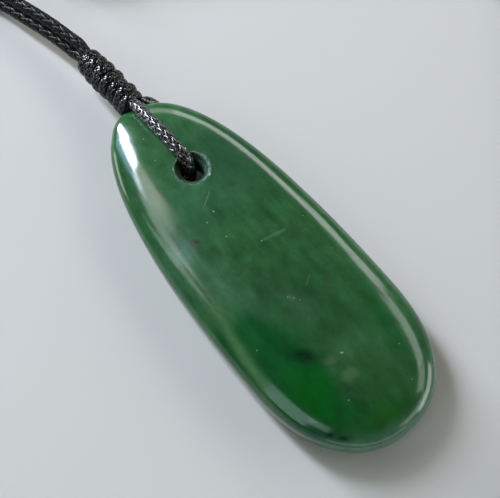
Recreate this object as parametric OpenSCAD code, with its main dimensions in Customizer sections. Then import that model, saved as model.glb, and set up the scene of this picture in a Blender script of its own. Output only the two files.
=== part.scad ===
// A greenstone toki (adze-shaped) pendant on a plaited, waxed black cord, laid on a level surface.
// The stone lies on its flat back. The cord goes down through the hole and back under the stone,
// both legs are bound by a whipping, and from there they run on as the two strands of the neck loop,
// which lies in one easy turn around the pendant and is tied with a plain knot.
// X and Y run along the sides of the laid loop, and Z is up from the surface.

/* [Stone] */
// Length of the stone, from blade end to top end
toki_length = 52.4; // [50:0.1:56]
// Width of the stone at its widest place
toki_width = 21.2; // [20:0.1:24]
// Height of the crest of the face above the flat back
toki_thick = 6.8; // [6.4:0.1:7.4]
// Distance of the widest place from the blade end
widest_from_blade = 15.6; // [14:0.1:20]
// Height of the widest line above the surface, on the blade half
edge_height = 3.3; // [3:0.1:3.6]
// How much the face falls from its crest towards a place one stone length away
crown_fall = 3.4; // [2:0.1:4]
// How far the back is thinned away under the top end, where the cord passes
back_rise = 1.9; // [1.8:0.1:2.1]

/* [Hole] */
// Distance of the hole's axis from the middle of the stone, towards the top end
hole_at = 14.2; // [13.5:0.1:15]
// How far the hole lies to the right of the stone's middle line
hole_aside = 0.6; // [0:0.1:0.8]
// Diameter of the drilled hole
hole_diameter = 2.6; // [2.4:0.1:3]
// Diameter of the countersink where it meets the face
countersink_diameter = 4.1; // [3.8:0.1:4.6]
// Depth of each countersink
countersink_depth = 1.2; // [0.8:0.1:1.3]

/* [Cord] */
// Diameter of the plaited cord
cord_diameter = 1.6; // [1.4:0.05:1.7]
// Diameter of each strand where the whipping squeezes it
squeezed_diameter = 0.92; // [0.8:0.02:0.94]

/* [Whipping] */
// Length of the whipping along its axis
whip_length = 9.6; // [8:0.1:11]
// Outer radius at the middle of the whipping
whip_radius = 2.05; // [1.9:0.05:2.2]
// Outer radius at the end that faces the neck loop
whip_neck_radius = 1.65; // [1.4:0.05:1.9]
// Outer radius at the end that faces the stone
whip_mouth_radius = 1.85; // [1.6:0.05:1.9]
// Radius of the passage that the winding leaves for the two strands
whip_hollow = 1.03; // [0.98:0.01:1.1]
// Number of turns of the binding thread
whip_turns = 6.5; // [5.5:0.5:7.5]

/* [Closing knot] */
// Number of turns in the knot
knot_turns = 4; // [3:1:5]
// Width of each turn of the knot
knot_turn_width = 1.7; // [1.4:0.1:1.9]
// Outer radius of the knot
knot_radius = 2.1; // [1.9:0.05:2.15]
// Length of the trimmed cord ends past the knot
knot_tail = 2.4; // [1:0.1:4]

/* [Hidden] */

stone_green = [0.06, 0.33, 0.13];
cord_black = [0.09, 0.08, 0.08];
thread_black = [0.05, 0.05, 0.06];

// How the pendant lies: the stone's middle, and its turn away from the Y axis
stone_middle = [1.59, -3.73, 0];
stone_turn = 38.4;
function laid(p) = stone_middle
    + [p.x * cos(stone_turn) - p.y * sin(stone_turn), p.x * sin(stone_turn) + p.y * cos(stone_turn), p.z];

// Stone: how full each end is, and the line that the face and back are drawn in towards
half_length = toki_length / 2;
widest_at = widest_from_blade - half_length;
blade_power = 2.46;
blade_round = 0.46;
top_power = 2.5;
top_round = 0.42;
spine_low = -16;
spine_high = 18.5;
face_power = 2.6;
back_power = 3.2;
crest_at = -6;
relief_from = 3;
relief_length = 13;
edge_lift = 0.4;
back_sink = 0.5;
outline_points = 56;
face_angles = [0, 9, 18, 28, 39, 51, 63, 74, 83];
back_angles = [80, 64, 50, 37, 25, 12];

function smooth(x) = let(t = min(max(x, 0), 1)) t * t * (3 - 2 * t);
function outline_half(v) = let(
    blade = v < widest_at,
    reach = blade ? widest_at + half_length : half_length - widest_at,
    s = abs(v - widest_at) / reach,
    full = pow(s, blade ? blade_power : top_power))
    toki_width / 2 * pow(max(1 - full, 0), blade ? blade_round : top_round);
function outline_point(j) = let(a = 360 * j / outline_points, v = -half_length * cos(a))
    [sin(a) < 0 ? -outline_half(v) : outline_half(v), v];
function spine_point(v) = [0, min(max(v, spine_low), spine_high)];

function back_height(v) = back_rise * smooth((v - relief_from) / relief_length);
function edge_at(v) = edge_height + edge_lift * smooth((v - relief_from) / relief_length);
function crest_height(v) = toki_thick - crown_fall * pow((v - crest_at) / toki_length, 2);
function face_height(v, rise) = edge_at(v) + (crest_height(v) - edge_at(v)) * rise;
function underside_height(v, drop) =
    max(back_height(v), edge_at(v) - (edge_at(v) - back_height(v) + back_sink) * drop);

// One ring of the stone, drawn in from the outline towards the spine
function stone_ring(angle, power, face) = [
    for (j = [0:outline_points - 1]) let(
        edge = outline_point(j),
        foot = spine_point(edge.y),
        at = foot + pow(cos(angle), 2 / power) * (edge - foot),
        height = pow(sin(angle), 2 / power))
        [at.x, at.y, face ? face_height(at.y, height) : underside_height(at.y, height)]];

// Hole and countersinks
hole_radius = hole_diameter / 2;
countersink_radius = countersink_diameter / 2;
face_at_hole = crest_height(hole_at);
back_at_hole = back_height(hole_at);

// Whipping: its axis in the stone's own sideways, lengthwise and upward directions
whip_mouth = [0.66, 26.88, 3.9];
whip_neck = [0.51, 36.52, 3.1];
whip_swell = 0.15;
whip_rings_a_turn = 14;
whip_gap = 0.03;

// The cord where the stone and the whipping hold it: sideways, lengthwise, height
face_leg = [
    [0.62, 26.55, 4.95], [0.6, 25.9, 5.5], [0.52, 24.9, 5.98], [0.5, 23.4, 6.42], [0.5, 21.6, 6.8],
    [0.52, 19.8, 7.03], [0.54, 17.6, 7.13], [0.56, 16.5, 7.09], [0.58, 15.98, 7.01], [0.6, 15.66, 6.82],
    [0.6, 15.46, 6.56], [0.6, 15.12, 6.02], [0.6, 14.78, 5.44], [0.6, 14.64, 4.9]];
back_leg = [
    [0.6, 14.64, 3.2], [0.62, 14.76, 2.5], [0.68, 15.08, 1.85], [0.76, 15.58, 1.26], [0.88, 16.2, 0.96],
    [1.2, 17.45, 0.84], [1.85, 19.65, 0.82], [2.6, 22.05, 0.84], [3.15, 24.1, 0.95], [3.45, 25.35, 1.45],
    [3.4, 26.2, 2.2], [2.75, 26.65, 2.95]];
// Where the back leg dives under the last turn, with the size it is squeezed to there
back_entry = [1.75, 26.9, 3.4];
back_entry_radius = 0.52;
back_leg_inside = 0.91;

// The neck loop, laid in one turn around the pendant: X, Y, height of the cord's middle
rest = 0.8;
left_strand = [
    [-22.23, 26.39, 2.24], [-23.5, 27.52, 2.16], [-25.65, 29.4, 2.01], [-27.78, 31.1, 1.81],
    [-29.89, 32.7, 1.54], [-32.26, 34.54, 1.19], [-34.2, 35.7, 0.93], [-36.6, 36.4, rest], [-39.3, 36.1, rest],
    [-41.5, 34.4, rest], [-42.6, 31.2, rest], [-42.2, 23.4, rest], [-41.1, 14, rest], [-40.2, 4.2, rest],
    [-40, -6.2, rest], [-39.6, -16, rest], [-37.6, -24.5, rest], [-33.2, -31, rest], [-26.5, -35.2, rest],
    [-17.6, -36.8, rest], [-7.3, -36.7, rest], [3.6, -36.2, rest], [14, -36.3, rest], [23, -35.1, rest],
    [29.41, -31.1, rest], [34.2, -24.7, rest], [36.7, -16, rest], [37.3, -5.7, rest], [36.8, 5.2, rest],
    [36.8, 15.6, rest], [36.9, 24.8, rest], [36.7, 31.6, rest], [36, 36.5, rest], [33.3, 39.5, rest],
    [28.2, 40.4, rest], [21.8, 40.4, rest], [10.5, 40.2, rest], [-1.5, 39.9, rest], [-11, 40.1, 1.25],
    [-17.5, 40.5, 2.05]];
right_strand = [
    [-21.65, 26.98, 3.66], [-22.93, 28.12, 3.58], [-25.1, 30.02, 3.43], [-27.26, 31.75, 3.23],
    [-29.38, 33.35, 2.96], [-31.75, 35.19, 2.61], [-33.9, 36.75, 2.13], [-36.7, 38, 1.35], [-40, 37.9, rest],
    [-43, 35.7, rest], [-44.4, 31.4, rest], [-44.2, 22.8, rest], [-43.6, 13.5, rest], [-42.8, 3.6, rest],
    [-42, -6.7, rest], [-41.5, -17, rest], [-39.6, -26, rest], [-34.4, -33, rest], [-27, -37.2, rest],
    [-17.2, -38.8, rest], [-6.8, -38.7, rest], [3.9, -38.5, rest], [14.8, -38.3, rest], [23.96, -37.2, rest],
    [30.95, -32.9, rest], [36.5, -25.6, rest], [39, -16.4, rest], [39.3, -5.8, rest], [38.8, 5.5, rest],
    [38.9, 15.8, rest], [39.1, 25.6, rest], [38.8, 32.4, rest], [38, 37.7, rest], [34.8, 41.4, rest],
    [29, 42.4, rest], [21.9, 42.4, rest], [10.5, 42.4, rest], [-1.5, 42.2, rest], [-11, 42.1, 1.25],
    [-17.5, 42.2, 2.05]];
knot_face = [-19, 41.35, 2.1];
knot_core = 0.85;
knot_groove = 0.4;
joint_gap = 0.15;

// Tubes: rows of [point, sideways reference, half size along it, half size across it]
tube_sides = 8;
squeezed_radius = squeezed_diameter / 2;
function unit(a) = a / norm(a);
function heading(rows, i) = unit(rows[min(i + 1, len(rows) - 1)][0] - rows[max(i - 1, 0)][0]);
function tube_ring(rows, i) = let(
    row = rows[i],
    t = heading(rows, i),
    e = unit(row[1] - (row[1] * t) * t),
    n = cross(t, e))
    [for (k = [0:tube_sides - 1]) let(q = 360 * (k + 0.5) / tube_sides)
        row[0] + row[2] * cos(q) * e + row[3] * sin(q) * n];

module tube(rows) {
    s = tube_sides;
    last = len(rows) - 1;
    polyhedron(
        points = [for (i = [0:last]) each tube_ring(rows, i)],
        faces = concat(
            [[for (k = [0:s - 1]) k]],
            [[for (k = [s - 1:-1:0]) last * s + k]],
            [for (i = [0:last - 1]) for (k = [0:s - 1]) let(m = (k + 1) % s)
                each [[i * s + k, (i + 1) * s + k, (i + 1) * s + m], [i * s + k, (i + 1) * s + m, i * s + m]]]),
        convexity = 6);
}

// Whipping axis, and where a strand lies inside it: one turn of the bundle by its lay angle
function whip_point(t) = whip_neck + t * (whip_mouth - whip_neck);
whip_along = unit(whip_mouth - whip_neck);
whip_side = unit(cross(whip_along, [0, 0, 1]));
whip_up = cross(whip_side, whip_along);
function whip_spoke(angle) = cos(angle) * whip_side + sin(angle) * whip_up;
function whip_outer(t) = lookup(t, [
    [0, whip_neck_radius], [whip_swell, 0.94 * whip_radius], [0.5, whip_radius], [1, whip_mouth_radius]]);
core_offset = squeezed_radius + 0.01;
core_turn = -50;
neck_angle = 120;
core_steps = 5;
// whip_side points to the stone's left. At the neck end the right strand lies above the left one
function core_rows(start, from, to) = [
    for (k = [0:core_steps]) let(
        t = from + (to - from) * k / core_steps,
        at = whip_point(t) + core_offset * whip_spoke(start + core_turn * t))
        [at, [1, 0, 0], squeezed_radius, squeezed_radius]];

module as_laid() {
    translate(stone_middle) rotate([0, 0, stone_turn]) children();
}

module toki_body() {
    m = outline_points;
    half = m / 2;
    rings = concat(
        [for (a = back_angles) stone_ring(a, back_power, false)],
        [for (a = face_angles) stone_ring(a, face_power, true)]);
    last = len(rings) - 1;
    top = last * m;
    polyhedron(
        points = [for (r = rings) each r],
        faces = concat(
            [for (i = [0:last - 1]) for (j = [0:m - 1]) let(k = (j + 1) % m)
                [i * m + j, (i + 1) * m + j, (i + 1) * m + k, i * m + k]],
            [[0, 1, m - 1], [half - 1, half, half + 1]],
            [for (j = [1:half - 2]) [j, j + 1, m - j - 1, m - j]],
            [[top + m - 1, top + 1, top], [top + half + 1, top + half, top + half - 1]],
            [for (j = [1:half - 2]) [top + m - j, top + m - j - 1, top + j + 1, top + j]]),
        convexity = 4);
}

module hole_cutter() {
    slope = (countersink_radius - hole_radius) / countersink_depth;
    over = 1;
    translate([hole_aside, hole_at, 0]) {
        translate([0, 0, -over]) cylinder(h = toki_thick + 2 * over, r = hole_radius, $fn = 48);
        translate([0, 0, face_at_hole - countersink_depth])
            cylinder(h = countersink_depth + over, r1 = hole_radius,
                r2 = countersink_radius + slope * over, $fn = 48);
        translate([0, 0, back_at_hole - over])
            cylinder(h = countersink_depth + over, r1 = countersink_radius + slope * over,
                r2 = hole_radius, $fn = 48);
    }
}

module toki() {
    color(stone_green) as_laid() difference() {
        toki_body();
        hole_cutter();
    }
}

module hitch_cord() {
    r = cord_diameter / 2;
    legs = concat(face_leg, back_leg);
    color(cord_black) as_laid() tube(concat(
        core_rows(neck_angle, 0, 1),
        [for (p = legs) [p, [1, 0, 0], r, r]],
        [[back_entry, [1, 0, 0], back_entry_radius, back_entry_radius]],
        core_rows(neck_angle + 180, back_leg_inside, 0)));
}

module whipping() {
    turn_width = whip_length / (whip_turns + 1);
    steps = whip_turns * whip_rings_a_turn;
    rows = [for (k = [0:steps]) let(
        along = turn_width / 2 + whip_turns * turn_width * k / steps,
        t = along / whip_length,
        spoke = whip_spoke(360 * (steps - k) / whip_rings_a_turn),
        half = (whip_outer(t) - whip_hollow) / 2,
        at = whip_point(t) + (whip_hollow + half) * spoke)
        [at, spoke, half, turn_width / 2 - whip_gap]];
    color(thread_black) as_laid() tube(rows);
}

// A neck strand leaves the whipping squeezed, swells to its full size, and ends at the knot's face
module neck_strand(start_angle, route, knot_side) {
    r = cord_diameter / 2;
    start = laid(whip_neck + core_offset * whip_spoke(start_angle) - joint_gap * whip_along);
    swell = laid(whip_neck + r * whip_spoke(start_angle) - cord_diameter * whip_along);
    finish = knot_face + [joint_gap, knot_side * knot_core, 0];
    tube(concat(
        [[start, [0, 0, 1], squeezed_radius, squeezed_radius], [swell, [0, 0, 1], r, r]],
        [for (p = route) [p, [0, 0, 1], r, r]],
        [[finish, [0, 0, 1], r, r]]));
}

module neck_cord_left() {
    color(cord_black) neck_strand(neck_angle + 180, left_strand, -1);
}

module neck_cord_right() {
    color(cord_black) neck_strand(neck_angle, right_strand, 1);
}

module closing_knot() {
    length = knot_turns * knot_turn_width;
    lobe = knot_turn_width / 2;
    color(thread_black) translate(knot_face) rotate([0, -90, 0]) {
        rotate_extrude($fn = 64) {
            square([knot_radius - knot_groove, length]);
            for (i = [0:knot_turns - 1]) translate([knot_radius - lobe, (i + 0.5) * knot_turn_width])
                circle(r = lobe, $fn = 32);
        }
        for (side = [-1, 1]) translate([0, side * knot_core, length - lobe])
            cylinder(h = lobe + knot_tail, r = cord_diameter / 2, $fn = 24);
    }
}

toki();
hitch_cord();
whipping();
neck_cord_left();
neck_cord_right();
closing_knot();
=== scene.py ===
# %% [markdown]
# # A greenstone toki pendant
#
# A toki is a pendant in the shape of a small adze blade. This one is green nephrite, ground to a long
# rounded blade, polished, and drilled near its narrow end. A plaited, waxed cord goes down through the
# hole and back under the stone, a whipping of waxed thread binds its two legs, and from there they run
# on as the two strands of the neck loop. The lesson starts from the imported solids, makes the camera and
# the cords first, then the whipping, the knot, the stone, the finishes, and last the light.

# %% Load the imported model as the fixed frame
import math

import bmesh
import bpy
import numpy as np
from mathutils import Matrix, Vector, noise
from mathutils.geometry import interpolate_bezier


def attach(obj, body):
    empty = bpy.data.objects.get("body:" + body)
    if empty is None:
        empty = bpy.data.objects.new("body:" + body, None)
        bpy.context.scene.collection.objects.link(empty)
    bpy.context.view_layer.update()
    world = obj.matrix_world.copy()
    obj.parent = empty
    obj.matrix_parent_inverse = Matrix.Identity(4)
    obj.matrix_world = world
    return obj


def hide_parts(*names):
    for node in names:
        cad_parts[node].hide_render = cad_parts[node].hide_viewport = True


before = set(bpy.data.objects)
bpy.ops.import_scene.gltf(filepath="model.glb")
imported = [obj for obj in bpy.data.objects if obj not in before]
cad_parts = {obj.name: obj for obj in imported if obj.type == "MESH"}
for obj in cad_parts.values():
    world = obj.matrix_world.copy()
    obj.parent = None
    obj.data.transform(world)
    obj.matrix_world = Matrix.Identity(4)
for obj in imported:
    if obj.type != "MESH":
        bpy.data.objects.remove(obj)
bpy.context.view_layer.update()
MM = 0.001
print("solids:", sorted(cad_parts))

# %% [markdown]
# ## The camera
#
# The photograph looks down at the pendant from in front, steeply, from close by. How the two long edges
# of the blade run together fixes the height of the view, and the cord's thickness fixes its scale: one
# pixel is 0.12 mm at the stone. A 90 mm lens at 150 mm gives just that, so no shift is needed.

# %% Set up the camera
view_elevation = math.radians(66)
view_distance = 150 * MM
view_target = Vector((0.23, -1.53, 3.0)) * MM

camera_data = bpy.data.cameras.new("camera")
camera_data.lens = 90
camera_data.sensor_width = 36
camera_data.clip_start = 0.01
camera = bpy.data.objects.new("camera", camera_data)
to_viewer = Vector((0, -math.cos(view_elevation), math.sin(view_elevation)))
camera.location = view_target + view_distance * to_viewer
camera.rotation_euler = (math.pi / 2 - view_elevation, 0, 0)
bpy.context.collection.objects.link(camera)
bpy.context.scene.camera = camera

# %% [markdown]
# ## Where things lie
#
# The stone lies on its back, turned about 38 degrees to the left of the way that the camera looks. It is
# easiest to think in the stone's own directions: sideways, lengthwise towards the drilled end, and up.
# One function turns such a place into a point of the frame.

# %% Places on the stone, in millimetres
stone_middle = Vector((1.59, -3.73, 0)) * MM
stone_turn = math.radians(38.4)
stone_right = Vector((math.cos(stone_turn), math.sin(stone_turn), 0))
stone_along = Vector((-math.sin(stone_turn), math.cos(stone_turn), 0))
straight_up = Vector((0, 0, 1))


def laid(place):
    aside, along, height = place
    return stone_middle + (stone_right * aside + stone_along * along + straight_up * height) * MM


def smooth(x):
    t = min(max(x, 0), 1)
    return t * t * (3 - 2 * t)


# %% [markdown]
# ## A smooth line through listed points
#
# A cord has no corners, so each route is a chain of Bezier arcs through its points. At each point the
# arc leaves along a mix of the two chords that meet there, the nearer one counting more, which keeps a
# short stretch next to a long one from swinging out. The line is then walked in equal steps.

# %% Draw a route as one smooth line
ARC_STEPS = 24


def run_along(line):
    return np.concatenate(([0], np.cumsum(np.linalg.norm(np.diff(line, axis=0), axis=1))))


def length_of(line):
    return float(np.linalg.norm(np.diff(line, axis=0), axis=1).sum())


def smooth_line(knots, step):
    gaps = [(b - a).length for a, b in zip(knots, knots[1:])]
    chords = [(b - a) / gap for a, b, gap in zip(knots, knots[1:], gaps)]
    slopes = [chords[0]]
    for before, after, gap_before, gap_after in zip(chords, chords[1:], gaps, gaps[1:]):
        slopes.append((before * gap_after + after * gap_before) / (gap_before + gap_after))
    slopes.append(chords[-1])
    drawn = []
    for i, gap in enumerate(gaps):
        out_handle = knots[i] + slopes[i] * gap / 3
        in_handle = knots[i + 1] - slopes[i + 1] * gap / 3
        drawn.extend(interpolate_bezier(knots[i], out_handle, in_handle, knots[i + 1], ARC_STEPS)[:-1])
    drawn = np.array(drawn + [knots[-1]])
    run = run_along(drawn)
    places = np.linspace(0, run[-1], max(2, round(run[-1] / step)) + 1)
    return np.stack([np.interp(places, run, drawn[:, axis]) for axis in range(3)], axis=1)


# %% [markdown]
# ## A plait
#
# The cord is a round plait of ten waxed yarns. Five wind to the left and five to the right, and each
# one dives under the next that it meets and climbs over the one after. It could be a bump on a plain
# tube, but the photograph shows single yarns glinting on the cord's outline, so each yarn is a flat
# tube of its own. A tube starts as a grid: one side of the grid runs along the yarn, the other is rolled
# up around it, and the seam is merged. The grid's own UVs then follow the yarn, for its fibres. A plain
# tube inside, the core, closes the view between the yarns.

# %% Roll a grid up into a tube
CORD_SEAM = 1e-8


def unit_rows(rows):
    return rows / np.linalg.norm(rows, axis=1, keepdims=True)


def sweep(mesh, rings):
    count, sides = rings.shape[:2]
    made = bmesh.ops.create_grid(
        mesh, x_segments=count - 1, y_segments=sides, size=1, calc_uvs=True)["verts"]
    for corner in made:
        along = round((corner.co.x + 1) / 2 * (count - 1))
        around = round((corner.co.y + 1) / 2 * sides) % sides
        corner.co = rings[along, around]
    bmesh.ops.remove_doubles(mesh, verts=made, dist=CORD_SEAM)
    ends = [edge for corner in made if corner.is_valid for edge in corner.link_edges if edge.is_boundary]
    bmesh.ops.holes_fill(mesh, edges=list(set(ends)), sides=0)


def axes_along(line, reference):
    heading = unit_rows(np.gradient(line, axis=0))
    across = reference - (reference * heading).sum(axis=1, keepdims=True) * heading
    across = unit_rows(across)
    return across, np.cross(heading, across)


def column(value, line):
    return np.broadcast_to(value, len(line))[:, None]


# %% Plait ten yarns along a line
YARNS_EACH_WAY = 5
YARN_SIDES = 6
YARN_MIDDLE = 0.79
YARN_WAVE = 0.05
YARN_HALF_THICK = 0.14
YARN_HALF_WIDE = 0.4
CORE_SIDES = 8


def plait(mesh, line, reference, half_across, half_up, lay):
    across, upward = axes_along(line, reference)
    half_across = column(half_across, line)
    half_up = column(half_up, line)
    size = np.sqrt(half_across * half_up)
    run = run_along(line)
    turned = np.linspace(0, 2 * math.pi, YARN_SIDES, endpoint=False)
    for way in (1, -1):
        over = way * np.cos(math.pi * 2 * YARNS_EACH_WAY * run / lay)
        depth = (YARN_MIDDLE + YARN_WAVE * over)[:, None]
        for yarn in range(YARNS_EACH_WAY):
            angle = (2 * math.pi * (yarn / YARNS_EACH_WAY + way * run / lay))[:, None]
            middle = line + depth * (
                half_across * np.cos(angle) * across + half_up * np.sin(angle) * upward)
            outward = unit_rows(np.cos(angle) / half_across * across + np.sin(angle) / half_up * upward)
            forward = unit_rows(np.gradient(middle, axis=0))
            sideways = unit_rows(np.cross(forward, outward))
            outward = np.cross(sideways, forward)
            sweep(mesh, np.stack([
                middle + size * (
                    YARN_HALF_WIDE * math.cos(t) * sideways + YARN_HALF_THICK * math.sin(t) * outward)
                for t in turned], axis=1))


def core(mesh, line, reference, half_across, half_up, fill=0.55, every=3):
    half_across = column(half_across, line)[::every]
    half_up = column(half_up, line)[::every]
    reference = np.broadcast_to(reference, line.shape)[::every]
    line = line[::every]
    across, upward = axes_along(line, reference)
    turned = np.linspace(0, 2 * math.pi, CORE_SIDES, endpoint=False)
    sweep(mesh, np.stack([
        line + fill * (half_across * math.cos(t) * across + half_up * math.sin(t) * upward)
        for t in turned], axis=1))


# %% Turn a finished bmesh into an object of the scene
def new_mesh():
    mesh = bmesh.new()
    mesh.loops.layers.uv.new("along")
    return mesh


def piece(name, mesh):
    bmesh.ops.recalc_face_normals(mesh, faces=mesh.faces)
    data = bpy.data.meshes.new(name)
    mesh.to_mesh(data)
    mesh.free()
    data.shade_smooth()
    obj = bpy.data.objects.new(name, data)
    bpy.context.collection.objects.link(obj)
    triangles = sum(len(face.vertices) - 2 for face in data.polygons)
    print(f"{name}: {triangles} triangles")
    return obj


# %% [markdown]
# ## The neck loop
#
# The two strands leave the whipping side by side and run out of the picture at the top left. The rest of
# the loop isn't in the picture: it lies in one easy turn around the pendant, just outside the view, and
# ends in the knot. The routes are the ones that the solids have, in millimetres.

# %% Lay the two strands of the neck loop
REST = 0.8
left_route = [
    (-22.23, 26.39, 2.24), (-23.5, 27.52, 2.16), (-25.65, 29.4, 2.01), (-27.78, 31.1, 1.81),
    (-29.89, 32.7, 1.54), (-32.26, 34.54, 1.19), (-34.2, 35.7, 0.93), (-36.6, 36.4, REST),
    (-39.3, 36.1, REST), (-41.5, 34.4, REST), (-42.6, 31.2, REST), (-42.2, 23.4, REST),
    (-41.1, 14, REST), (-40.2, 4.2, REST), (-40, -6.2, REST), (-39.6, -16, REST),
    (-37.6, -24.5, REST), (-33.2, -31, REST), (-26.5, -35.2, REST), (-17.6, -36.8, REST),
    (-7.3, -36.7, REST), (3.6, -36.2, REST), (14, -36.3, REST), (23, -35.1, REST),
    (29.41, -31.1, REST), (34.2, -24.7, REST), (36.7, -16, REST), (37.3, -5.7, REST),
    (36.8, 5.2, REST), (36.8, 15.6, REST), (36.9, 24.8, REST), (36.7, 31.6, REST),
    (36, 36.5, REST), (33.3, 39.5, REST), (28.2, 40.4, REST), (21.8, 40.4, REST),
    (10.5, 40.2, REST), (-1.5, 39.9, REST), (-11, 40.1, 1.25), (-17.5, 40.5, 2.05)]
right_route = [
    (-21.65, 26.98, 3.66), (-22.93, 28.12, 3.58), (-25.1, 30.02, 3.43), (-27.26, 31.75, 3.23),
    (-29.38, 33.35, 2.96), (-31.75, 35.19, 2.61), (-33.9, 36.75, 2.13), (-36.7, 38, 1.35),
    (-40, 37.9, REST), (-43, 35.7, REST), (-44.4, 31.4, REST), (-44.2, 22.8, REST),
    (-43.6, 13.5, REST), (-42.8, 3.6, REST), (-42, -6.7, REST), (-41.5, -17, REST),
    (-39.6, -26, REST), (-34.4, -33, REST), (-27, -37.2, REST), (-17.2, -38.8, REST),
    (-6.8, -38.7, REST), (3.9, -38.5, REST), (14.8, -38.3, REST), (23.96, -37.2, REST),
    (30.95, -32.9, REST), (36.5, -25.6, REST), (39, -16.4, REST), (39.3, -5.8, REST),
    (38.8, 5.5, REST), (38.9, 15.8, REST), (39.1, 25.6, REST), (38.8, 32.4, REST),
    (38, 37.7, REST), (34.8, 41.4, REST), (29, 42.4, REST), (21.9, 42.4, REST), (10.5, 42.4, REST),
    (-1.5, 42.2, REST), (-11, 42.1, 1.25), (-17.5, 42.2, 2.05)]
knot_face = Vector((-19, 41.35, 2.1)) * MM
knot_core = 0.85 * MM

cord_radius = 0.8 * MM
plait_radius = 0.78 * MM
squeezed_radius = 0.46 * MM
gripped_radius = 0.62 * MM
joint_gap = 0.15 * MM
swell_length = 1.2 * MM
cord_lay = 7.0 * MM
neck_lay = 8.5 * MM
plait_step = 0.21 * MM
whip_mouth = laid((0.66, 26.88, 3.9))
whip_neck = laid((0.51, 36.52, 3.1))
whip_along = (whip_mouth - whip_neck).normalized()
whip_left = whip_along.cross(straight_up).normalized()
whip_top = whip_left.cross(whip_along)
core_offset = squeezed_radius + 0.01 * MM
upper_leg = 120
lower_leg = 300


def whip_spoke(degrees):
    angle = math.radians(degrees)
    return math.cos(angle) * whip_left + math.sin(angle) * whip_top


def neck_strand(name, leg, route, knot_side):
    start = whip_neck + gripped_radius * whip_spoke(leg) + joint_gap * whip_along
    swell = whip_neck + 0.9 * cord_radius * whip_spoke(leg) - 2 * cord_radius * whip_along
    finish = knot_face + Vector((joint_gap, knot_side * knot_core, 0))
    knots = [start, swell] + [Vector(p) * MM for p in route] + [finish]
    line = smooth_line(knots, plait_step)
    grown = np.clip(run_along(line) / swell_length, 0, 1)
    radius = gripped_radius + (plait_radius - gripped_radius) * grown * grown * (3 - 2 * grown)
    mesh = new_mesh()
    plait(mesh, line, np.array(straight_up), radius, radius, neck_lay)
    core(mesh, line, np.array(straight_up), radius, radius, every=6)
    strand = piece(name, mesh)
    print(f"{name}: {length_of(line) / MM:.1f} mm long")
    return strand, line


neck_plait_left, left_line = neck_strand("neck_plait_left", lower_leg, left_route, -1)
neck_plait_right, right_line = neck_strand("neck_plait_right", upper_leg, right_route, 1)

# %% [markdown]
# ## The hitch
#
# This is the stretch of cord that the stone and the whipping hold. It comes out of the whipping on top,
# lies over the face, goes down the hole, comes back under the top end, which is thinned away for it, and
# climbs beside the tip into the whipping again. Inside the whipping it is squeezed thin, and over the
# mouth of the hole, where it bends down, it spreads a little wider.

# %% Thread the hitch through the stone
face_leg = [
    (0.62, 26.55, 4.95), (0.6, 25.9, 5.5), (0.52, 24.9, 5.98), (0.5, 23.4, 6.42), (0.5, 21.6, 6.8),
    (0.52, 19.8, 7.03), (0.54, 17.6, 7.13), (0.56, 16.5, 7.09), (0.58, 15.98, 7.01), (0.6, 15.66, 6.82),
    (0.6, 15.46, 6.56), (0.6, 15.12, 6.02), (0.6, 14.78, 5.44), (0.6, 14.64, 4.9)]
back_leg = [
    (0.6, 14.64, 3.2), (0.62, 14.76, 2.5), (0.68, 15.08, 1.85), (0.76, 15.58, 1.26), (0.88, 16.2, 0.96),
    (1.2, 17.45, 0.84), (1.85, 19.65, 0.82), (2.6, 22.05, 0.84), (3.15, 24.1, 0.95), (3.45, 25.35, 1.45),
    (3.4, 26.2, 2.2), (2.75, 26.65, 2.95), (1.75, 26.9, 3.4)]

leg_twist = 50
hitch_swell = 1.1 * MM
back_leg_start = 0.93
most_spread = 0.17
spread_heights = [5.2, 6.4]
spread_places = [13, 15.2, 17, 22]


def inside_whipping(leg, fractions):
    return [
        whip_neck + t * (whip_mouth - whip_neck) + core_offset * whip_spoke(leg - leg_twist * t)
        for t in fractions]


hitch_knots = (
    inside_whipping(upper_leg, (0, 0.2, 0.4, 0.6, 0.8, 1))
    + [laid(p) for p in face_leg + back_leg]
    + inside_whipping(lower_leg, (0.91, 0.73, 0.55, 0.36, 0.18, 0)))
hitch_line = smooth_line(hitch_knots, plait_step)
hitch_run = run_along(hitch_line)
whip_length = (whip_mouth - whip_neck).length
from_ends = np.minimum(
    hitch_run - whip_length, hitch_run[-1] - back_leg_start * whip_length - hitch_run)
hitch_grown = np.clip(from_ends / hitch_swell, 0, 1)
hitch_radius = squeezed_radius + (plait_radius - squeezed_radius) * hitch_grown
hitch_along = (hitch_line - np.array(stone_middle)) @ np.array(stone_along) / MM
on_face = np.interp(hitch_line[:, 2] / MM, spread_heights, [0, 1])
spread = 1 + most_spread * on_face * np.interp(hitch_along, spread_places, [0, 1, 1, 0])
mesh = new_mesh()
plait(mesh, hitch_line, np.array(stone_right), hitch_radius * spread, hitch_radius, cord_lay)
core(mesh, hitch_line, np.array(stone_right), hitch_radius, hitch_radius)
hitch_plait = piece("hitch_plait", mesh)
print(f"hitch: {length_of(hitch_line) / MM:.1f} mm of cord")

# %% [markdown]
# ## The whipping
#
# A thinner plaited thread is wound tightly round both strands, from the neck end to the stone. Its turns
# are flattened against each other, and by hand they never come out even. So the two sides of the
# whipping have a profile each, the turns are unevenly spaced, and the ones at the neck end lie flatter
# and wider. The winding is one line, so it can't come apart, and it is plaited like the cord.

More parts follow.
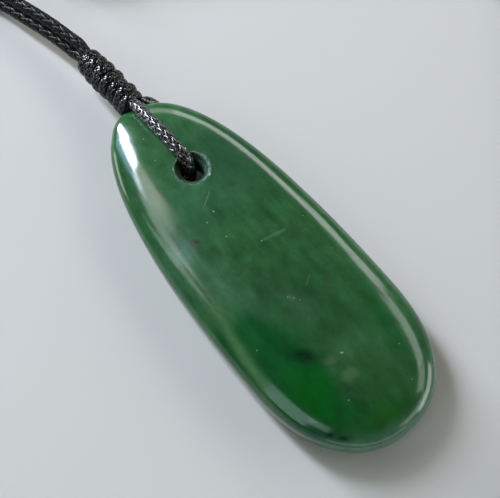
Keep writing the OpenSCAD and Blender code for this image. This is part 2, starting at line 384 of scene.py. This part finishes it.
# %% Wind the whipping
whip_turns = 6.5
whip_steps_a_turn = 72
past_mouth = 0.45 * MM
thread_lay = 5.0 * MM
left_faces = math.radians(-10)
left_profile = (
    [0, 0.08, 0.16, 0.3, 0.56, 0.64, 0.8, 1],
    [1.5, 1.8, 2.0, 2.1, 2.06, 1.84, 1.88, 1.95])
right_profile = (
    [0, 0.08, 0.2, 0.36, 0.5, 0.64, 0.8, 1],
    [1.45, 1.75, 1.9, 1.86, 2.0, 1.84, 2.06, 1.74])
spacing = (
    [0, 0.067, 0.205, 0.343, 0.481, 0.619, 0.757, 0.91, 1.1],
    [0, 0.06, 0.19, 0.32, 0.505, 0.645, 0.785, 0.93, 1.12])
thread_stations = [0, 0.38, 0.52, 1]


def whip_reach(t, angle):
    left = np.interp(t, *left_profile)
    right = np.interp(t, *right_profile)
    share = np.cos((angle - left_faces) / 2) ** 2
    uneven = 0.06 * np.sin(2.3 * angle + 1.0) + 0.05 * np.sin(0.7 * angle)
    return (left * share + right * (1 - share) + uneven) * MM


winding = np.linspace(0, 1, round(whip_turns * whip_steps_a_turn) + 1)
whip_angle = 2 * math.pi * whip_turns * (1 - winding)
turn_wide = whip_length / (whip_turns + 1)
even_run = (turn_wide / 2 + winding * (whip_length + past_mouth - turn_wide)) / whip_length
whip_run = np.interp(even_run, *spacing)
thread_half_thick = np.interp(whip_run, thread_stations, [0.4, 0.43, 0.5, 0.5]) * MM
thread_half_wide = np.interp(whip_run, thread_stations, [0.9, 0.86, 0.74, 0.72]) * MM
whip_spokes = np.stack([
    np.cos(whip_angle) * whip_left[axis] + np.sin(whip_angle) * whip_top[axis]
    for axis in range(3)], axis=1)
whip_axis = np.array(whip_neck) + whip_run[:, None] * np.array(whip_mouth - whip_neck)
whip_line = whip_axis + (whip_reach(whip_run, whip_angle) - thread_half_thick)[:, None] * whip_spokes
mesh = new_mesh()
plait(mesh, whip_line, whip_spokes, thread_half_thick, thread_half_wide, thread_lay)
core(mesh, whip_line, whip_spokes, thread_half_thick, thread_half_wide, fill=0.75)
whipping_thread = piece("whipping_thread", mesh)
print(f"whipping: {length_of(whip_line) / MM:.0f} mm of thread in {whip_turns} turns")

# %% [markdown]
# ## The closing knot
#
# Out of the picture, the two strands meet and are tied. The plain way is a barrel: one strand is wound
# four times round both and pulled tight, and the ends are cut short. The winding is a helix of the same
# plaited cord, and the two trimmed ends are short straight plaits.

# %% Tie the closing knot
knot_turns = 4
knot_steps_a_turn = 48
knot_turn_wide = 1.7 * MM
knot_coil = 1.3 * MM
knot_tail = 2.4 * MM
tail_radius = cord_radius * 0.95
knot_length = knot_turns * knot_turn_wide
to_knot_end = Vector((-1, 0, 0))
knot_side = Vector((0, 1, 0))
coil_angle = np.linspace(0, 2 * math.pi * knot_turns, knot_turns * knot_steps_a_turn + 1)
coil_spokes = (
    np.cos(coil_angle)[:, None] * np.array(knot_side)
    + np.sin(coil_angle)[:, None] * np.array(straight_up))
coil_run = cord_radius + (knot_length - 2 * cord_radius) * coil_angle / coil_angle[-1]
coil_line = np.array(knot_face) + coil_run[:, None] * np.array(to_knot_end) + knot_coil * coil_spokes
mesh = new_mesh()
plait(mesh, coil_line, coil_spokes, cord_radius, cord_radius, cord_lay)
core(mesh, coil_line, coil_spokes, cord_radius, cord_radius)
for side in (-1, 1):
    tail_start = knot_face + side * knot_core * knot_side
    tail = smooth_line([
        tail_start,
        tail_start + knot_length * to_knot_end,
        tail_start + (knot_length + knot_tail) * to_knot_end], plait_step)
    plait(mesh, tail, np.array(straight_up), tail_radius, tail_radius, cord_lay)
    core(mesh, tail, np.array(straight_up), cord_radius, cord_radius, fill=0.6)
closing_knot_plait = piece("closing_knot_plait", mesh)

# %% [markdown]
# ## The stone
#
# The blade is widest a third of the way up and rounds off at both ends. Seen from above its outline is
# one formula: the half width falls away from the widest place by a power of the distance. The drilled
# tip is a touch squarer on its left side. From that outline the face rises and draws in towards a
# straight spine, on a superellipse, so that it is nearly flat in the middle and turns over quickly into
# the bevel. The back does the same downwards but is ground flat, and it is thinned away under the
# drilled end. A rolled-up grid gives the rings, and the last ring on each side lies on the spine, where
# merging closes it.

# %% The outline and the heights of the stone, in millimetres
stone_length = 52.4
stone_width = 21.2
stone_thick = 6.8
half_length = stone_length / 2
widest_at = 15.6 - half_length
hole_aside = 0.6
hole_along = 14.2
thinned_from = 3
thinned_over = 13
back_lift = 1.9
edge_low = 3.3
edge_lift = 0.4
highest_at = -6
crest_fall = 3.4
spine_ends = (-16, 18.5)
face_power = 2.6
back_power = 3.2
ground_off = 0.5
tip_extra = 0.4


def outline_half(along):
    blade = along < widest_at
    reach = widest_at + half_length if blade else half_length - widest_at
    full = (abs(along - widest_at) / reach) ** (2.46 if blade else 2.5)
    return stone_width / 2 * max(1 - full, 0) ** (0.46 if blade else 0.42)


def thinned(along):
    return smooth((along - thinned_from) / thinned_over)


def back_height(along):
    return back_lift * thinned(along)


def edge_height(along):
    return edge_low + edge_lift * thinned(along)


def crest_height(along):
    return stone_thick - crest_fall * ((along - highest_at) / stone_length) ** 2


def stone_place(around, rise):
    edge_along = -half_length * math.cos(around)
    half = outline_half(edge_along)
    edge = Vector((half if math.sin(around) >= 0 else -half, edge_along))
    edge.y += tip_extra * smooth((edge_along - 24.2) / 2) * smooth((1.2 - edge.x) / 2.4)
    foot = Vector((0, min(max(edge_along, spine_ends[0]), spine_ends[1])))
    up = rise >= 0
    power = face_power if up else back_power
    inward = max(math.cos(rise), 0) ** (2 / power)
    lift = abs(math.sin(rise)) ** (2 / power)
    at = foot + inward * (edge - foot)
    base = edge_height(at.y)
    if up:
        return laid((at.x, at.y, base + (crest_height(at.y) - base) * lift))
    floor = back_height(at.y)
    return laid((at.x, at.y, max(floor, base - (base - floor + ground_off) * lift)))


# %% Build the shell of the stone
STONE_SEAM = 1e-7
around_steps = 256
rise_steps = 96
mesh = new_mesh()
made = bmesh.ops.create_grid(
    mesh, x_segments=around_steps, y_segments=rise_steps, size=1, calc_uvs=False)["verts"]
for corner in made:
    along_grid = round((corner.co.x + 1) / 2 * around_steps) % around_steps
    up_grid = round((corner.co.y + 1) / 2 * rise_steps)
    if up_grid in (0, rise_steps):
        along_grid = min(along_grid, around_steps - along_grid)
    rise = (up_grid / rise_steps - 0.5) * math.pi
    corner.co = stone_place(2 * math.pi * along_grid / around_steps, rise)
bmesh.ops.remove_doubles(mesh, verts=mesh.verts, dist=STONE_SEAM)
bmesh.ops.dissolve_degenerate(mesh, edges=mesh.edges, dist=STONE_SEAM)
open_edges = sum(edge.is_boundary for edge in mesh.edges)
toki_stone = piece("toki_stone", mesh)
print("open edges in the stone:", open_edges)

# %% [markdown]
# ## The hole
#
# The hole is drilled straight down and countersunk on both sides. The drill left the rim of the
# countersink rough, with small chips. The cutter is a profile that is spun once round the hole's axis,
# and the chips are pushed into the cutter where it meets the face, so that the cut itself has them.

# %% Spin the drill's shape and cut it out
bore_radius = 1.3
countersink_radius = 2.05
countersink_depth = 1.2
drill_steps = 120
chip_depth = 0.11
face_at_hole = crest_height(hole_along)
back_at_hole = back_height(hole_along)
bore_from = back_at_hole + countersink_depth
bore_to = face_at_hole - countersink_depth
flare = (countersink_radius - bore_radius) / countersink_depth
profile = [
    (0, back_at_hole - 1), (countersink_radius + flare, back_at_hole - 1),
    (bore_radius + 0.12, bore_from - 0.18), (bore_radius, bore_from + 0.1),
    (bore_radius, bore_to - 0.1), (bore_radius + 0.12, bore_to + 0.18),
    (countersink_radius - 0.3, face_at_hole - 0.55), (countersink_radius - 0.1, face_at_hole - 0.3),
    (countersink_radius + 0.02, face_at_hole - 0.12), (countersink_radius + 0.25, face_at_hole + 0.05),
    (countersink_radius + 0.9, face_at_hole + 0.5), (0, face_at_hole + 0.5)]
mesh = new_mesh()
hole_axis = laid((hole_aside, hole_along, 0))
corners = [mesh.verts.new(hole_axis + Vector((radius, 0, height)) * MM) for radius, height in profile]
edges = [mesh.edges.new(pair) for pair in zip(corners, corners[1:])]
bmesh.ops.spin(
    mesh, geom=corners + edges, cent=hole_axis, axis=straight_up,
    angle=2 * math.pi, steps=drill_steps, use_merge=True)
bmesh.ops.remove_doubles(mesh, verts=mesh.verts, dist=STONE_SEAM)
for corner in mesh.verts:
    from_axis = corner.co - hole_axis
    outward = Vector((from_axis.x, from_axis.y, 0))
    near_rim = smooth((from_axis.z / MM - face_at_hole + 1.0) / 0.7)
    chips = noise.noise(outward / MM * 2.6) + 0.6 * noise.noise(outward / MM * 6)
    corner.co += outward * near_rim * max(chips, -0.15) * chip_depth
drill = piece("drill", mesh)

sharp_from = math.radians(38)
cut = toki_stone.modifiers.new("hole", "BOOLEAN")
cut.operation = "DIFFERENCE"
cut.solver = "EXACT"
cut.object = drill
bpy.context.view_layer.update()
drilled = bpy.data.meshes.new_from_object(toki_stone.evaluated_get(bpy.context.evaluated_depsgraph_get()))
toki_stone.modifiers.clear()
toki_stone.data = drilled
bpy.data.objects.remove(drill)
drilled.shade_smooth()
drilled.set_sharp_from_angle(angle=sharp_from)
print("drilled stone:", len(drilled.polygons), "faces")

# %% [markdown]
# ## Shader maths as plain expressions
#
# A finish is a sum of masks: here a vein, there a chip. Written as nodes by hand, each plus sign is five
# lines. This small class wraps a node's output, so that + - * / on it add the Math nodes, and one method
# makes any other node from its type, its settings and the values of its sockets.

# %% Wrap sockets, and make nodes by one method
class Wire:
    def __init__(self, finish, socket):
        self.finish = finish
        self.socket = socket

    def __add__(self, other):
        return self.finish.math("ADD", self, other)

    def __radd__(self, other):
        return self.finish.math("ADD", other, self)

    def __sub__(self, other):
        return self.finish.math("SUBTRACT", self, other)

    def __rsub__(self, other):
        return self.finish.math("SUBTRACT", other, self)

    def __mul__(self, other):
        return self.finish.math("MULTIPLY", self, other)

    def __rmul__(self, other):
        return self.finish.math("MULTIPLY", other, self)

    def __truediv__(self, other):
        return self.finish.math("DIVIDE", self, other)

    def __rtruediv__(self, other):
        return self.finish.math("DIVIDE", other, self)

    def __neg__(self):
        return self.finish.math("MULTIPLY", self, -1)

    def __pow__(self, other):
        return self.finish.math("POWER", self, other)

    def __abs__(self):
        return self.finish.math("ABSOLUTE", self)


class Finish:
    def __init__(self, name):
        self.material = bpy.data.materials.new(name)
        self.material.use_nodes = True
        self.tree = self.material.node_tree
        self.tree.nodes.clear()

    def connect(self, value, socket):
        if isinstance(value, Wire):
            self.tree.links.new(value.socket, socket)
        else:
            socket.default_value = value

    def node(self, kind, settings=None, values=None, out=0):
        made = self.tree.nodes.new(kind)
        for name, value in (settings or {}).items():
            if name == "stops":
                self.set_stops(made.color_ramp, value)
            else:
                setattr(made, name, value)
        for name, value in (values or {}).items():
            self.connect(value, made.inputs[name])
        return Wire(self, made.outputs[out] if made.outputs else None)

    def set_stops(self, ramp, stops):
        while len(ramp.elements) < len(stops):
            ramp.elements.new(1)
        for element, (place, colour) in zip(ramp.elements, stops):
            element.position = place
            element.color = (*colour, 1)

    def math(self, operation, *values):
        return self.node("ShaderNodeMath", {"operation": operation}, dict(enumerate(values)))

    def clamp(self, value):
        return self.math("MAXIMUM", self.math("MINIMUM", value, 1), 0)

    def mix(self, amount, one, two):
        one = one if isinstance(one, Wire) else (*one, 1)
        two = two if isinstance(two, Wire) else (*two, 1)
        return self.node("ShaderNodeMix", {"data_type": "RGBA"}, {0: amount, 6: one, 7: two}, out=2)

    def scale(self, colour, amount):
        return self.node("ShaderNodeVectorMath", {"operation": "SCALE"}, {0: colour, "Scale": amount})

    def step(self, value, low, high):
        settings = {"interpolation_type": "SMOOTHSTEP"}
        return self.node("ShaderNodeMapRange", settings, {0: value, 1: low, 2: high, 3: 0.0, 4: 1.0})

    def noise(self, place, scale, detail=2.0, roughness=0.5):
        values = {"Vector": place, "Scale": scale, "Detail": detail, "Roughness": roughness}
        return self.node("ShaderNodeTexNoise", {}, values)

    def stretch(self, place, scale):
        return self.node("ShaderNodeMapping", {}, {"Vector": place, "Scale": scale})

    def surface(self, values):
        shader = self.node("ShaderNodeBsdfPrincipled", {}, values)
        self.node("ShaderNodeOutputMaterial", {}, {"Surface": shader})
        return self.material


# %% [markdown]
# ## The greenstone
#
# Polished nephrite is deep green with cloudy veils, finer fibres along the blade, and a soft glow where
# it is thin. The glow is subsurface scattering, and along the thin left edge and the blade's rim it is
# also painted into the colour. The polish is the stone's own gloss, so it needs no clear coat. Three
# noises mix the greens, blotches darken and lighten them, and a fine clouding scales the result. In
# between come the veils of this stone, each at its own place: among them a deep green wedge with a
# vivid patch in the lower half, a whitish patch at the left, paler flanks, the left one lightened
# further by painted glow, and a painted glow along the blade's rim. Last come its marks: a small brown
# spot, two pale inclusions, dark flecks near the blade, white specks, hair scratches, and the chipped
# countersink, with painted shade on its far side and down the bore, and whitish chips that are painted
# only on its lit side.

# %% Masks for the stone, in its own directions
class StoneFinish(Finish):
    def __init__(self, name):
        super().__init__(name)
        here = self.node("ShaderNodeTexCoord", {}, {}, out="Object")
        values = {
            "Vector": here, "Location": stone_middle, "Rotation": (0, 0, stone_turn),
            "Scale": (MM, MM, MM)}
        self.place = self.node("ShaderNodeMapping", {"vector_type": "TEXTURE"}, values)
        self.aside, self.along, self.height = (
            self.node("ShaderNodeSeparateXYZ", {}, {0: self.place}, out=axis) for axis in range(3))

    def spot(self, aside, along, wide, long, lean=0):
        turn = math.radians(lean)
        over = self.aside - aside
        up = self.along - along
        across = (over * math.cos(turn) + up * math.sin(turn)) / wide
        length = (up * math.cos(turn) - over * math.sin(turn)) / long
        return self.math("EXPONENT", -(across * across + length * length))

    def veils(self, colour, rows):
        for place, strength, tint in rows:
            colour = self.mix(self.spot(*place) * strength, colour, tint)
        return colour

    def scratch(self, start, end, width):
        run = (end[0] - start[0], end[1] - start[1])
        long = math.hypot(*run)
        over = self.aside - start[0]
        up = self.along - start[1]
        done = (over * (run[0] / long) + up * (run[1] / long)) / long
        off = (over * (run[1] / long) - up * (run[0] / long)) / width
        line = self.step(1 - abs(off), 0.0, 1.0)
        return line * self.step(done, 0.0, 0.15) * self.step(1 - done, 0.0, 0.25)


# %% Mix the greens, with each veil as a spot (aside, along, width, length, lean), a strength and a tint
UPPER_VEILS = [
    ((-2.5, 10.5, 5, 4.5), 0.33, (0.050, 0.146, 0.082)),
    ((4.2, 13, 3.4, 6), 0.8, (0.021, 0.077, 0.034)),
    ((0.9, -7, 3.4, 7, 19), 0.7, (0.015, 0.074, 0.023))]
LOWER_VEILS = [
    ((2.6, -15.3, 1.5, 2.8, 58), 0.55, (0.041, 0.142, 0.053)),
    ((6.0, -15, 1.25, 9, -9), 0.8, (0.006, 0.076, 0.015)),
    ((0.8, -18.6, 2.6, 2.4), 0.6, (0.012, 0.060, 0.010)),
    ((0.6, -12.4, 2.2, 1.5), 0.6, (0.014, 0.056, 0.017)),
    ((-2.2, -20.1, 1.5, 1.3), 0.5, (0.007, 0.046, 0.008)),
    ((1.2, -20.3, 3.0, 1.6), 0.25, (0.010, 0.050, 0.012)),
    ((-4.2, -2, 1.4, 4), 0.3, (0.014, 0.080, 0.028)),
    ((-0.9, -7.4, 1.3, 2.6, 5), 0.3, (0.060, 0.126, 0.078))]
# Left flank: paler stone, lightened further by a painted glow along its thin edge.
LEFT_VEILS_AND_GLOW = [
    ((-8.2, 0, 1.1, 8, 3), 0.5, (0.069, 0.163, 0.069)),
    ((-6.1, -0.5, 1.6, 6, 8), 0.45, (0.072, 0.168, 0.098))]
# The first row is a painted glow along the thin left edge of the blade; the others are the stone's
# greens.
BLADE_VEILS_AND_EDGE_GLOW = [
    ((-9.2, -8, 0.6, 6.5, -6), 0.85, (0.074, 0.178, 0.062)),
    ((-0.6, -23.8, 5.5, 2.3), 0.85, (0.012, 0.097, 0.011)),
    ((-4.8, -23.0, 2.2, 1.9), 0.35, (0.022, 0.140, 0.030)),
    ((-8.6, -20.5, 1.1, 3.5, 20), 0.5, (0.016, 0.130, 0.050))]


def greenstone():
    s = StoneFinish("greenstone")
    clouds = s.noise(s.stretch(s.place, (1.0, 0.55, 1.0)), 0.11, 5.0, 0.55)
    fibres = s.noise(s.stretch(s.place, (1.0, 0.12, 1.0)), 0.9, 4.0, 0.6)
    mottle = s.noise(s.stretch(s.place, (1.0, 0.6, 1.0)), 0.7, 3.0, 0.6)
    tone = clouds * 0.6 + fibres * 0.1 + mottle * 0.3
    greens = [(0.36, (0.015, 0.076, 0.021)), (0.5, (0.027, 0.107, 0.034)), (0.64, (0.045, 0.138, 0.053))]
    colour = s.node("ShaderNodeValToRGB", {"stops": greens}, {0: tone})
    blotches = s.noise(s.place, 0.45, 5.0, 0.7)
    colour = s.mix(s.step(blotches, 0.5, 0.72) * 0.5, colour, (0.017, 0.056, 0.019))
    colour = s.mix(s.step(blotches, 0.5, 0.3) * 0.35, colour, (0.048, 0.150, 0.070))

    colour = s.veils(colour, UPPER_VEILS)
    brown = s.spot(1.5, -5, 4.5, 9, 15) * s.step(s.noise(s.place, 0.55, 4.0, 0.65), 0.42, 0.68)
    colour = s.mix(brown * 0.5, colour, (0.034, 0.066, 0.022))
    colour = s.veils(colour, LOWER_VEILS)
    whitish = s.spot(-7.0, 5.8, 1.3, 1.7, -20) * (s.step(mottle, 0.3, 0.6) * 0.4 + 0.45)
    colour = s.mix(whitish, colour, (0.160, 0.280, 0.220))
    colour = s.veils(colour, LEFT_VEILS_AND_GLOW)

    from_bow = s.along + 13.5
    border = from_bow * from_bow * 0.034 + 2.7 - s.step(-s.along, 19.0, 23.0) * 4.0
    inside = -s.aside - border + (clouds - 0.5) * 5.0
    deep = s.step(inside, -1.3, 1.4) * s.step(-s.along, 2.0, 6.0)
    colour = s.mix(deep * 0.92, colour, (0.0026, 0.071, 0.014))
    vivid = s.step(s.spot(-5.6, -17, 3.6, 4.6, 12) + (clouds - 0.5) * 0.5, 0.1, 0.9)
    colour = s.mix(vivid * deep * 0.9, colour, (0.0009, 0.083, 0.0060))
    colour = s.veils(colour, BLADE_VEILS_AND_EDGE_GLOW)
    # Painted glow: the low rim of the blade end is lightened as if lit through.
    blade_rim_painted_glow = s.step(s.height, 5.6, 4.5) * s.step(-s.along, 19.5, 23.5)
    colour = s.mix(blade_rim_painted_glow * 0.75, colour, (0.120, 0.270, 0.170))

    clouding = s.noise(s.stretch(s.place, (1.0, 0.5, 1.0)), 0.7, 5.0, 0.6)
    colour = s.scale(colour, 0.92 + (clouding - 0.5))
    return s, colour, fibres


# %% Add the marks of this stone, and the painted light and shade of its countersink
WHITE_SPECKS = [
    (-1.04, 7.83, 0.13), (-2.53, 7.14, 0.10), (-1.87, 4.29, 0.10), (0.99, 1.24, 0.10),
    (-7.75, -8.86, 0.08), (-3.46, -19.80, 0.09), (3.84, -22.26, 0.08), (5.37, -18.27, 0.08),
    (7.07, 1.00, 0.07), (-1.54, 21.20, 0.10), (-2.25, 17.86, 0.09), (-0.60, -15.12, 0.16),
    (-1.76, 13.83, 0.07), (-1.24, 13.35, 0.09), (-0.15, 11.97, 0.09), (-0.42, -15.22, 0.09),
    (-1.1, -6.2, 0.08), (-0.6, -6.7, 0.08), (-0.2, -7.3, 0.07)]
HAIR_SCRATCHES = [
    ((0.38, 10.36), (-1.89, 8.78), 0.11, 0.2), ((0.95, 1.25), (4.52, 0.69), 0.3, 0.1),
    ((2.81, -5.46), (1.3, -6.49), 0.2, 0.07), ((-1.01, -5.93), (-0.68, -6.98), 0.5, 0.06)]


def greenstone_marks(s, colour):
    ragged = s.noise(s.place, 1.6, 3.0, 0.6)
    grey_spot = s.step(s.spot(-5.28, 6.22, 0.55, 0.6, 30) + (ragged - 0.5), 0.3, 0.8)
    colour = s.mix(grey_spot * 0.85, colour, (0.074, 0.078, 0.062))
    colour = s.mix(s.spot(-4.98, 5.98, 0.26, 0.42, 30) * 0.7, colour, (0.020, 0.019, 0.013))
    pale = s.spot(-2.1, -15.1, 1.0, 0.7, -6) * 0.75 + s.spot(-1.4, -17.65, 1.35, 0.85, -6) * 0.85
    inclusions = s.step(pale * s.step(ragged, -0.2, 0.6), 0.15, 0.8)
    colour = s.mix(inclusions * 0.52, colour, (0.088, 0.146, 0.068))
    dark = s.spot(-4.1, -12.8, 0.8, 1.8, 41) * 1.1
    dark = dark + s.spot(-7.35, -21.35, 0.25, 0.6, 51) + s.spot(-6.3, -22.65, 0.3, 0.95, 51)
    colour = s.mix(s.clamp(dark * s.step(ragged, -0.1, 0.6)), colour, (0.0017, 0.022, 0.0060))

    specks = 0.0
    for aside, along, size in WHITE_SPECKS:
        specks = s.step(s.spot(aside, along, size, size), 0.3, 0.9) + specks
    hairs = 0.0
    for start, end, width, strength in HAIR_SCRATCHES:
        hairs = s.scratch(start, end, width) * strength + hairs
    marks = s.clamp(specks * 0.65 + hairs)
    colour = s.mix(marks, colour, (0.361, 0.447, 0.361))
    return colour, marks


def countersink_chips_and_shade(s, colour):
    over = s.aside - hole_aside
    up = s.along - hole_along
    from_axis = (over * over + up * up) ** 0.5
    ground = s.noise(s.place, 3.2, 4.0, 0.7)
    ring = s.step(from_axis, 1.25, 1.55) * s.step(from_axis + (ground - 0.5) * 0.9, 2.35, 2.1)
    # Painted shade: the countersink's wall is darker on its far side than on its lit side.
    lit_side = s.step(over * 0.85 - up * 0.45 + (ground - 0.5) * 1.2, 0.2, 1.7)
    wall = s.mix(lit_side, (0.0030, 0.020, 0.0055), (0.011, 0.052, 0.021))
    colour = s.mix(ring * 0.85, colour, wall)
    broken_rim = s.step(from_axis, 1.85, 2.05) * s.step(ground, 0.3, 0.55)
    # Whitish chips on the rim, painted only on the lit side, so they are part chip colour and part
    # painted highlight.
    whitish = ring * lit_side * s.clamp(broken_rim * 0.6 + s.step(ground, 0.54, 0.66) * 0.7)
    colour = s.mix(whitish, colour, (0.258, 0.361, 0.341))
    below_face = s.step(s.height, face_at_hole - 0.2, face_at_hole - 1.4)
    # Painted shade: the bore below the face is near black.
    inside = s.step(from_axis, 1.75, 1.2) * below_face
    colour = s.mix(inside * 0.85, colour, (0.0017, 0.0103, 0.0034))
    rim = s.step(from_axis, 1.2, 1.5) * s.step(from_axis + (ground - 0.5) * 0.4, 2.3, 2.15)
    return colour, ring, rim, ground


def finish_greenstone():
    s, colour, fibres = greenstone()
    colour, marks = greenstone_marks(s, colour)
    colour, ring, rim, ground = countersink_chips_and_shade(s, colour)
    rough = 0.13 + marks * 0.25 + rim * 0.8 + (fibres - 0.5) * 0.05
    wave = s.noise(s.place, 0.16, 2.0)
    bumps = wave * 0.02 + ring * ground * 0.10 + fibres * 0.0005
    normal = s.node("ShaderNodeBump", {}, {"Height": bumps, "Distance": MM, "Strength": 1.0})
    return s.surface({
        "Base Color": colour, "Roughness": s.clamp(rough), "Normal": normal, "IOR": 1.6,
        "Subsurface Weight": 0.3, "Subsurface Radius": (0.3, 1.0, 0.4), "Subsurface Scale": 1.2 * MM})


# %% [markdown]
# ## Waxed yarn
#
# The cord is black, but under light the wax looks grey-brown, and each yarn has fine fibres along it and
# small bright glints. The UVs run once along a whole yarn, so the fibres are noise that is stretched that
# way, with a higher count on the long strands. The wax shines most where the cord is pulled tight, in the
# hitch and the knot, less on the whipping, and least on the loose strands.

# %% Finish the yarns
def waxed_yarn(name, dark, worn, shine, wax_coat, rough_low, rough_high, fibre_count):
    s = Finish(name)
    here = s.node("ShaderNodeTexCoord", {}, {}, out="Object")
    along = s.node("ShaderNodeTexCoord", {}, {}, out="UV")
    fibres = s.noise(s.stretch(along, (fibre_count, 14.0, 1.0)), 1.0, 3.0, 0.65)
    wax = s.noise(here, 1400.0, 3.0, 0.6)
    patches = s.noise(here, 260.0, 2.0, 0.5)
    colour = s.mix(s.step(fibres * 0.6 + patches * 0.4, 0.35, 0.72), dark, worn)
    rough = rough_low + (rough_high - rough_low) * s.step(wax, 0.3, 0.7)
    bumps = fibres * 0.5 + wax * 0.6
    normal = s.node("ShaderNodeBump", {}, {"Height": bumps, "Distance": 0.05 * MM, "Strength": 0.8})
    return s.surface({
        "Base Color": colour, "Roughness": rough, "Normal": normal, "Specular IOR Level": shine,
        "Coat Weight": wax_coat, "Coat Roughness": 0.1, "Coat IOR": 2.0})


stone_finish = finish_greenstone()
black = (0.0030, 0.0027, 0.0030)
brownish = (0.0110, 0.0090, 0.0085)
thread_black = (0.0020, 0.0020, 0.0026)
thread_brownish = (0.0085, 0.0066, 0.0066)
cord_finish = waxed_yarn("waxed_cord", black, brownish, 0.18, 0.08, 0.25, 0.4, 400.0)
short_cord_finish = waxed_yarn("waxed_cord_short", black, brownish, 0.16, 0.85, 0.2, 0.34, 60.0)
thread_finish = waxed_yarn(
    "waxed_thread", thread_black, thread_brownish, 0.05, 0.42, 0.2, 0.34, 100.0)

# %% [markdown]
# ## Putting the pieces in the frame
#
# Each piece stands for the solid that it was made after, which is hidden, rides on the one body that the
# pendant has, and is given its finish.

# %% Dress the frame
for dressed, finish, node, slot in (
        (toki_stone, stone_finish, "toki", "greenstone"),
        (hitch_plait, short_cord_finish, "hitch_cord", "waxed_cord"),
        (whipping_thread, thread_finish, "whipping", "waxed_thread"),
        (neck_plait_left, cord_finish, "neck_cord_left", "waxed_cord"),
        (neck_plait_right, cord_finish, "neck_cord_right", "waxed_cord"),
        (closing_knot_plait, short_cord_finish, "closing_knot", "waxed_cord")):
    dressed.data.materials.clear()
    dressed.data.materials.append(finish)
    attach(dressed, "root")
    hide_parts(node)

for strand, line, on_it in (
        (neck_plait_left, left_line, [closing_knot_plait]), (neck_plait_right, right_line, [])):
    line[::8].tolist() + [line[-1].tolist()]

# %% [markdown]
# ## Floor and light
#
# The pendant lies on a plain pale floor in soft studio light. The polish shows the lamps as shapes, so
# each lamp is given by the part of the room that it covers, seen from the stone: from which azimuth to
# which, counted from the way that the camera looks, and from which height to which, in degrees. A window
# at the left back, bluish at its far side, gives the bright streak beside the drilled end. Pale sheets
# next to it give the band that trails off below, and a wall at the left the long one above the blade.
# The strips, from the back round to the right, give the thin line that follows the right edge, and the
# low ones a glint on the bevels.

# %% Lay the floor
floor_reach = 2.0
floor_below = 0.02 * MM
mesh = new_mesh()
bmesh.ops.create_grid(mesh, x_segments=1, y_segments=1, size=floor_reach)
bmesh.ops.translate(mesh, verts=mesh.verts, vec=(0, 0, -floor_below))
floor = piece("floor", mesh)
floor_look = {"Base Color": (0.59, 0.55, 0.515, 1), "Roughness": 0.7}
floor.data.materials.append(Finish("floor").surface(floor_look))

# %% Place the lamps
LAMP_DISTANCE = 0.6
LAMP_POWER = 4


def lamp(name, azimuths, elevations, brightness, colour=(1, 1, 1)):
    turn = math.radians(sum(azimuths) / 2)
    up = math.radians(sum(elevations) / 2)
    away = Vector((math.sin(turn) * math.cos(up), math.cos(turn) * math.cos(up), math.sin(up)))
    data = bpy.data.lights.new(name, "AREA")
    data.shape = "RECTANGLE"
    data.size = 2 * LAMP_DISTANCE * math.cos(up) * math.tan(math.radians(azimuths[1] - azimuths[0]) / 2)
    data.size_y = 2 * LAMP_DISTANCE * math.tan(math.radians(elevations[1] - elevations[0]) / 2)
    data.energy = LAMP_POWER * data.size * data.size_y * brightness
    data.color = colour
    obj = bpy.data.objects.new(name, data)
    obj.location = view_target + away * LAMP_DISTANCE
    obj.rotation_euler = away.to_track_quat("Z", "Y").to_euler()
    bpy.context.collection.objects.link(obj)


lamp("window", (-49.5, -40.5), (12, 51), 34, (0.82, 0.93, 1.08))
lamp("window side", (-59, -49.5), (16, 50.5), 2.0, (0.6, 0.95, 1.45))
lamp("window edge", (-60, -50), (50.5, 54), 11, (0.84, 0.97, 1.0))
lamp("upper sheet", (-52, -38), (54.5, 61.5), 3.3, (1.0, 0.98, 0.88))
lamp("upper sheet left", (-61, -52), (54.5, 61.5), 2.5, (0.97, 1.0, 0.92))
lamp("middle sheet", (-83, -61), (50.5, 59.5), 2.2, (0.94, 1.0, 0.96))
lamp("lower sheet", (-94, -83), (40, 53), 1.6, (0.94, 1.0, 0.96))
lamp("left wall", (-146, -118), (15, 56), 1.25, (0.8, 1.03, 1.05))
lamp("left wall end", (-163, -146), (38, 55), 1.0, (0.8, 1.03, 1.05))
lamp("low left", (-84, -64), (2, 18), 3.2, (1.0, 0.97, 0.88))
lamp("strip far behind", (-17, -2), (19, 29.5), 1.7, (1.0, 0.98, 0.9))
lamp("strip behind", (-2, 29), (21, 30.5), 3.5)
lamp("strip corner", (29, 34), (17, 31), 3.0)
lamp("strip after corner", (34, 40), (20, 35), 2.8)
lamp("strip right", (40, 72), (31, 43.5), 2.0, (0.94, 1.0, 0.97))
lamp("strip bend", (72, 94), (30, 43), 1.7, (0.92, 1.0, 0.95))
lamp("strip down", (94, 128), (13, 29), 1.1, (0.92, 1.0, 0.9))
lamp("strip low right", (74, 112), (3, 20), 2.8)
lamp("strip low front", (125, 200), (0, 8), 0.7)

world = bpy.data.worlds.new("studio")
world.use_nodes = True
background = world.node_tree.nodes["Background"]
background.inputs["Color"].default_value = (0.9, 0.95, 1.0, 1)
background.inputs["Strength"].default_value = 0.05
bpy.context.scene.world = world
bpy.context.scene.view_settings.view_transform = "Standard"
